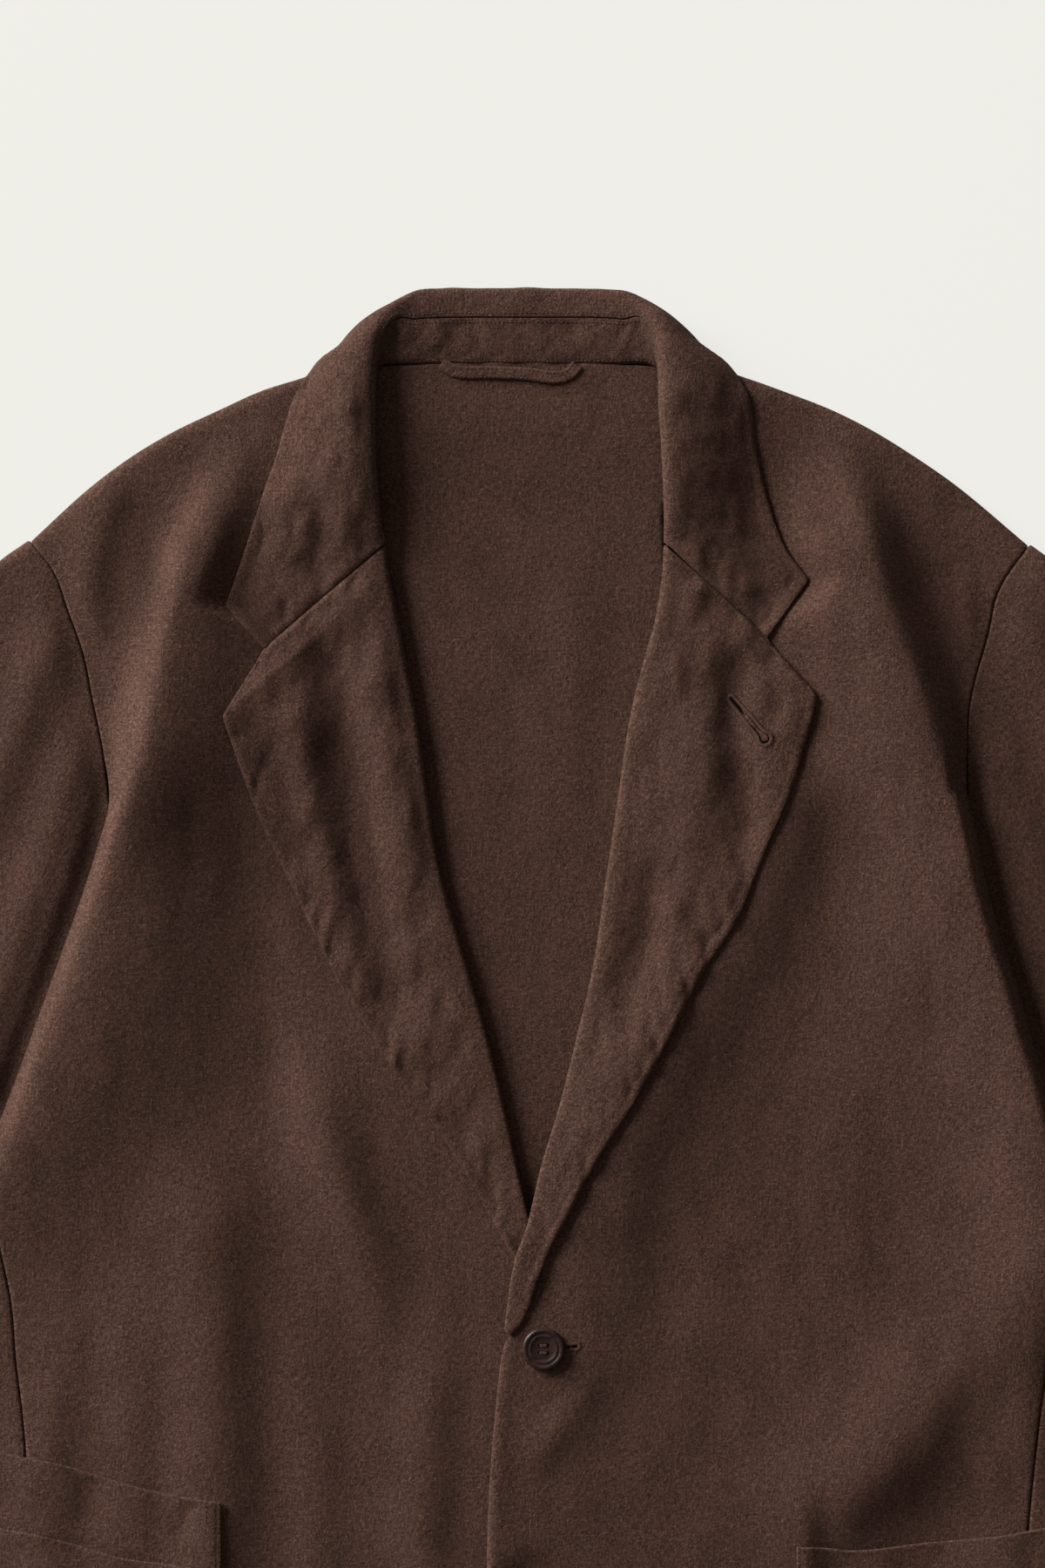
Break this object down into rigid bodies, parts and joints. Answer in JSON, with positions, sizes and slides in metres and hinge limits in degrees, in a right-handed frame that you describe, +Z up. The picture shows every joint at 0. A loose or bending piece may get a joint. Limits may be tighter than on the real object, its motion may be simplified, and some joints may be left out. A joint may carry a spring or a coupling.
{
  "type": "linen jacket",
  "caption": "Soft unlined tailored jacket in brushed linen, laid flat on its back and buttoned, with notched lapels, rolled collar, hanger loop and patch pockets.",
  "frame": {"origin": "middle of the outline's length and width, on the surface that the back lies on", "axes": "+X towards the wearer's left sleeve, +Y towards the collar, +Z up from the surface, out of the fronts"},
  "size_m": [1.0418, 0.796, 0.0227],
  "materials": {
    "cloth": "brushed matte linen, dark heathered brown",
    "button": "polished dark horn-like resin"
  },
  "bodies": {
    "root": {"back": "cloth", "front_right": "cloth", "front_left": "cloth", "side_panel_right": "cloth", "side_panel_left": "cloth", "sleeve_upper_right": "cloth", "sleeve_under_right": "cloth", "sleeve_upper_left": "cloth", "sleeve_under_left": "cloth", "lapel_right": "cloth", "lapel_left": "cloth", "collar_stand": "cloth", "collar": "cloth", "hanger_loop": "cloth", "pocket_right_inner": "cloth", "pocket_right": "cloth", "pocket_left": "cloth", "button_upper": "button", "button_lower": "button"}
  },
  "joints": []
}
